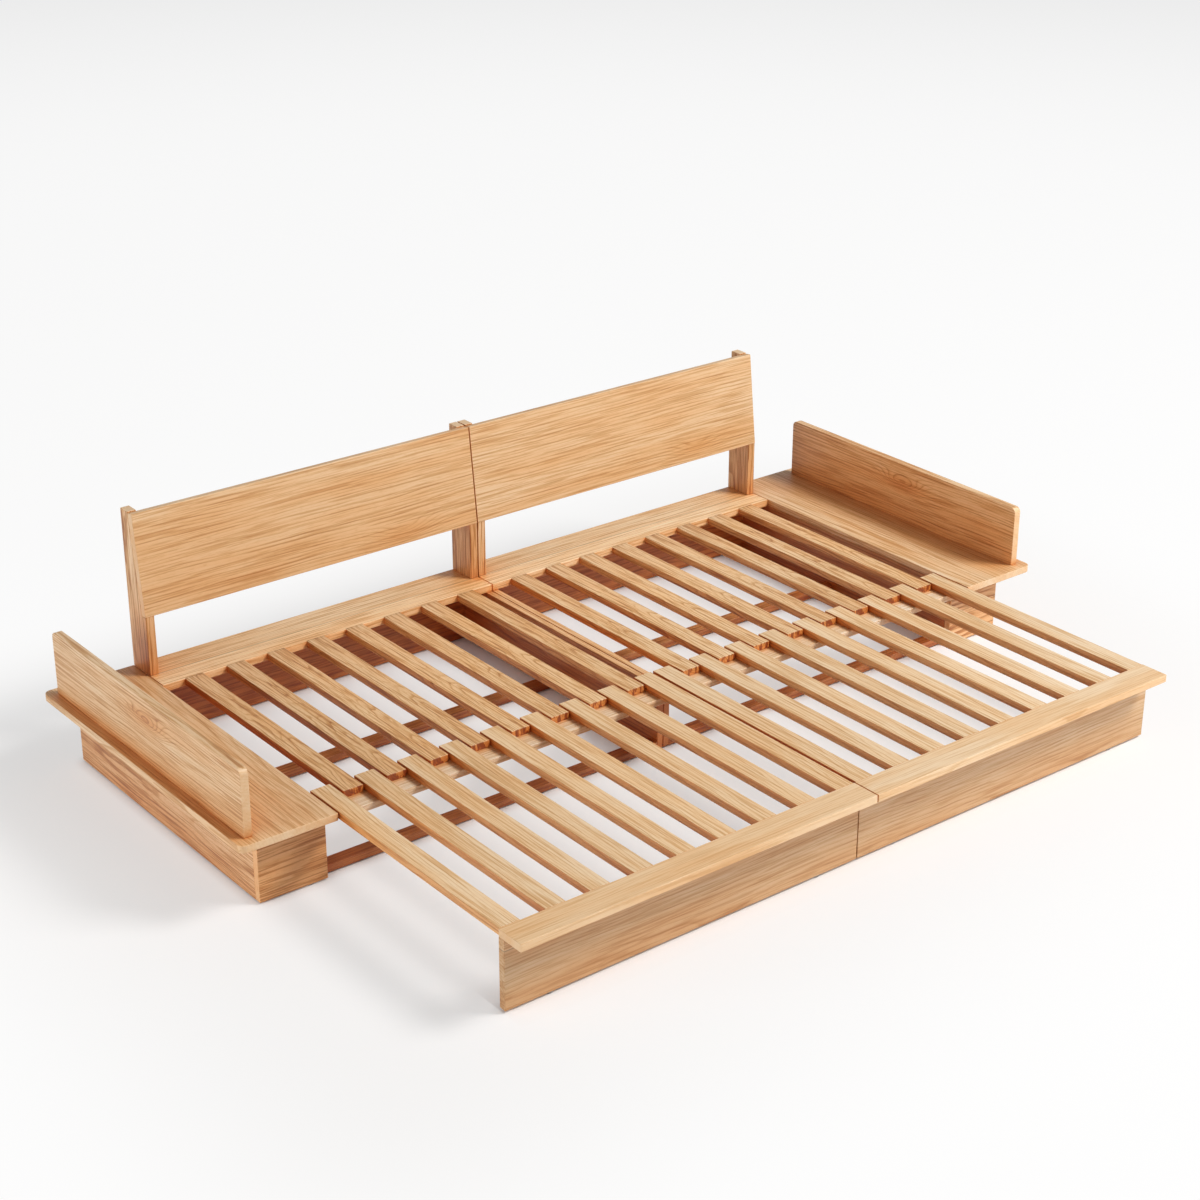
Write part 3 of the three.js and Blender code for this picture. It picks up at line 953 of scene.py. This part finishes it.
# Painted contact shade: the plain white share fades close to what stands on the floor
inputs = {"Distance": painted_contact_reach}
painted_contact_shade = add_node(tree, "ShaderNodeAmbientOcclusion", inputs, samples=few_rays).outputs["AO"]
plain = add_node(tree, math_node, (plain, painted_contact_shade), operation="MULTIPLY")

# Painted shadow under the deck: the plain white fades where a board stands a hand's length to the right
sideways = add_node(tree, "ShaderNodeCombineXYZ", to_the_lamp)
inputs = {"Distance": shade_reach, "Normal": sideways}
open_side = add_node(tree, "ShaderNodeAmbientOcclusion", inputs, samples=few_rays).outputs["AO"]
open_side = add_node(tree, range_node, (open_side, 0.38, 0.85, 0.05))
under = add_node(tree, math_node, (past(deck_half), 0.001), operation="LESS_THAN")
open_side = add_node(tree, range_node, (under, 0.0, 1.0, 1.0, open_side))
plain = add_node(tree, math_node, (plain, open_side), operation="MULTIPLY")
inputs = (away, fade_near, fade_far, 1.0, horizon_level)
white = add_node(tree, range_node, inputs, interpolation_type="SMOOTHSTEP")
glow = add_node(tree, "ShaderNodeEmission", {"Color": linear("#ffffff"), "Strength": white})
cover = add_node(tree, "ShaderNodeMixShader", (plain, matt, glow))
add_node(tree, "ShaderNodeOutputMaterial", (cover,))
floor_mesh.materials.append(paint)

# %% Light the sky
sky_level = 0.15  # the light that reaches the boards
backdrop_level = 1.0  # what the eye sees
mirrored_level = 0.65  # what a sheen shows
world = bpy.data.worlds.new("white_sky")
bpy.context.scene.world = world
world.use_nodes = True
tree = world.node_tree
tree.nodes.clear()
seen, glossy = direct_view(tree)
level = add_node(tree, range_node, (seen, 0.0, 1.0, sky_level, backdrop_level))
level = add_node(tree, range_node, (glossy, 0.0, 1.0, level, mirrored_level))
sky = add_node(tree, "ShaderNodeBackground", {"Color": linear("#ffffff"), "Strength": level})
add_node(tree, "ShaderNodeOutputWorld", (sky,))


# %% Hang the lamps
lamp_white = "#fffdfa"


def soft_lamp(name, place, target, width, height, power):
    """A rectangular soft box at a place, facing a target."""
    lamp = bpy.data.lights.new(name, "AREA")
    lamp.shape = "RECTANGLE"
    lamp.size = width
    lamp.size_y = height
    lamp.energy = power
    lamp.color = linear(lamp_white)[:3]
    box = in_scene(name, lamp)
    place = np.array(place)
    back = place - np.array(target)
    back /= np.linalg.norm(back)
    right = np.cross((0.0, 0.0, 1.0), back)
    right /= np.linalg.norm(right)
    upward = np.cross(back, right)
    turned = np.eye(4)
    turned[:3, 0] = right
    turned[:3, 1] = upward
    turned[:3, 2] = back
    turned[:3, 3] = place
    box.matrix_world = Matrix(turned.tolist())
    box.visible_camera = False


soft_lamp("key_soft_box", (4.8, -4.3, 7.0), (0.0, 0.0, 0.2), width=3.0, height=3.0, power=800.0)
soft_lamp("left_soft_box", (-5.2, 0.3, 1.2), (-1.0, 0.3, 0.3), width=3.0, height=1.6, power=95.0)
soft_lamp("front_soft_box", (0.9, -3.9, 0.9), (0.5, -0.8, 0.1), width=2.6, height=1.2, power=24.0)
bpy.context.scene.view_settings.view_transform = "Standard"
